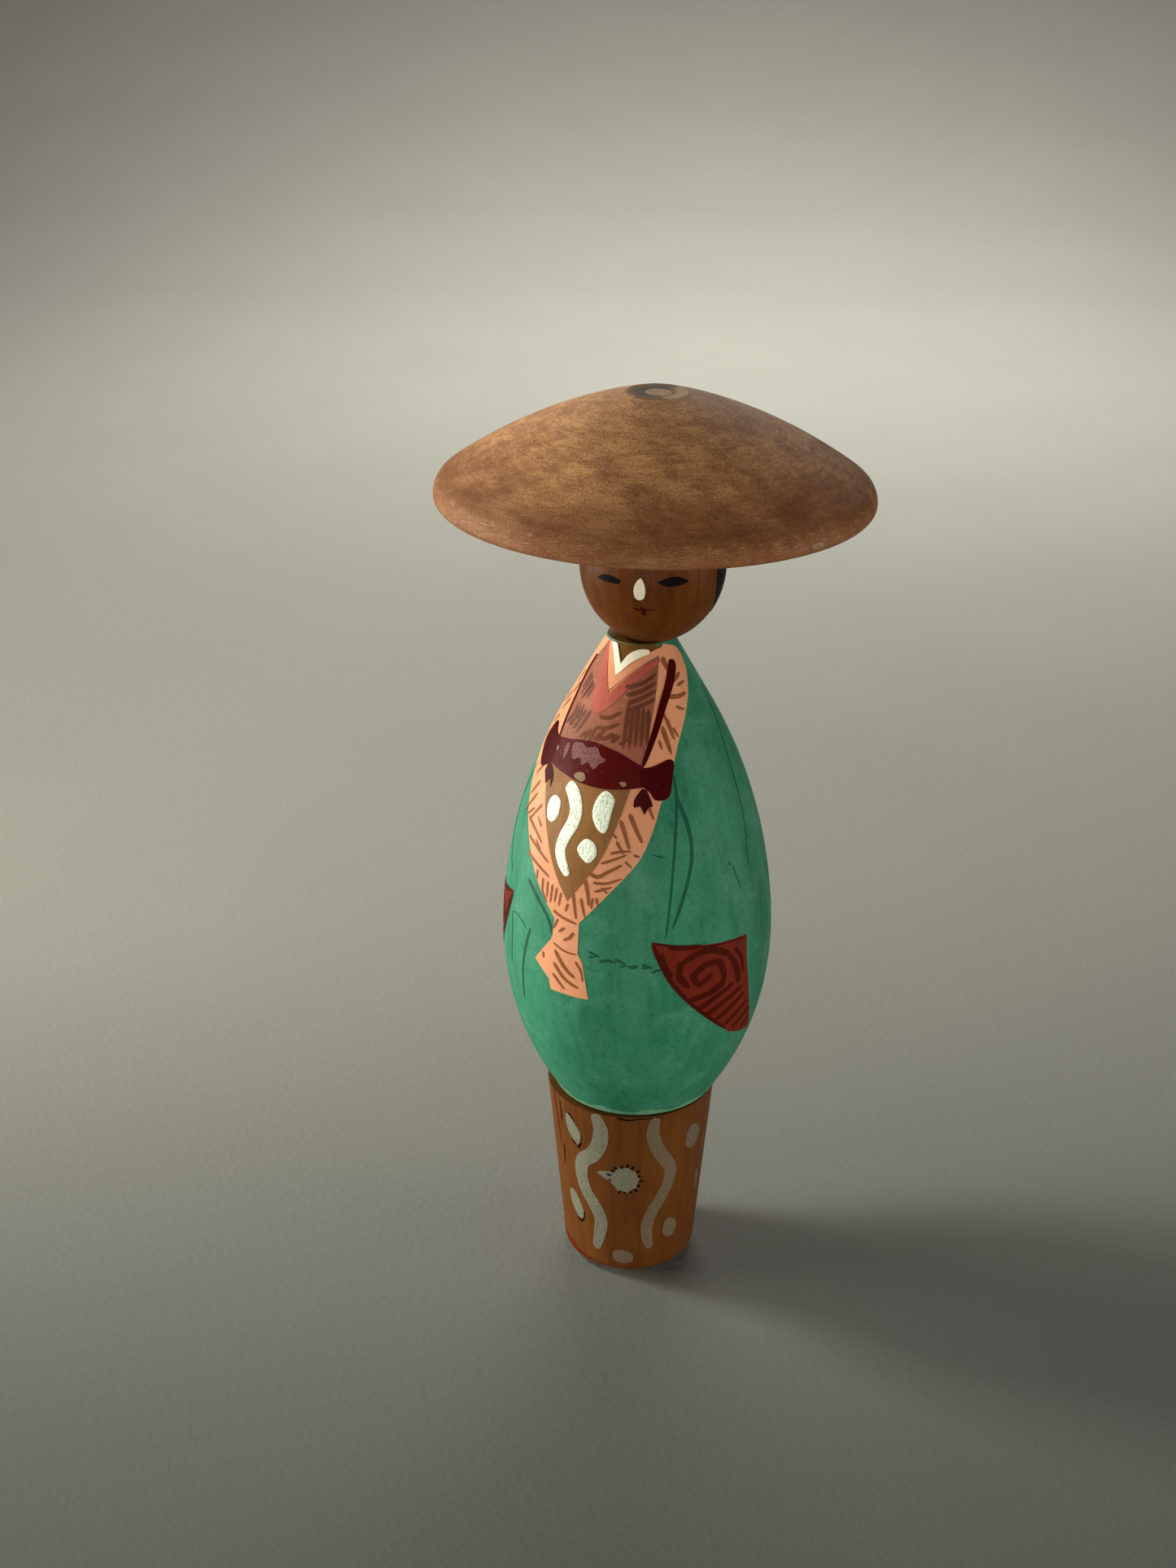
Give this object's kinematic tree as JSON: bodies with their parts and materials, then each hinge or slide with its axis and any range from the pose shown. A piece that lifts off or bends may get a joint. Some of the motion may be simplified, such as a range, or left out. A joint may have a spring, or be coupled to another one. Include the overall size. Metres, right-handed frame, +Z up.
{
  "type": "kokeshi doll",
  "caption": "Turned and painted wooden doll with a conical hat, a ball head that turns on a neck peg, an egg-shaped body and a tapered foot.",
  "frame": {"origin": "where the turning axis of the body meets the surface the doll stands on, on the foot's bottom face", "axes": "+Z up from the foot to the hat; the painted front of the robe faces -Y"},
  "size_m": [0.0476, 0.0476, 0.108],
  "materials": {
    "stained_wood": "brown stain, matt to satin, worn at the rim",
    "painted_face": "thin brown wash, satin, painted eyes, nose, mouth and hair",
    "painted_robe": "matt green paint with painted robe, worn",
    "painted_foot": "orange-brown wash, satin, pale painted marks",
    "peg_wood": "bare dowel"
  },
  "bodies": {
    "standing": {"body": "painted_robe", "foot": "painted_foot", "foot_peg": "peg_wood"},
    "head_and_hat": {"head": "painted_face", "hat": "stained_wood", "hat_peg": "peg_wood", "neck_peg": "peg_wood"}
  },
  "joints": [
    {"name": "head_turn", "type": "hinge", "parent": "standing", "child": "head_and_hat", "pos_m": [0.001, 0.00046, 0.08085], "axis": [0.0127, 0.0059, 0.9999], "continuous": true}
  ]
}
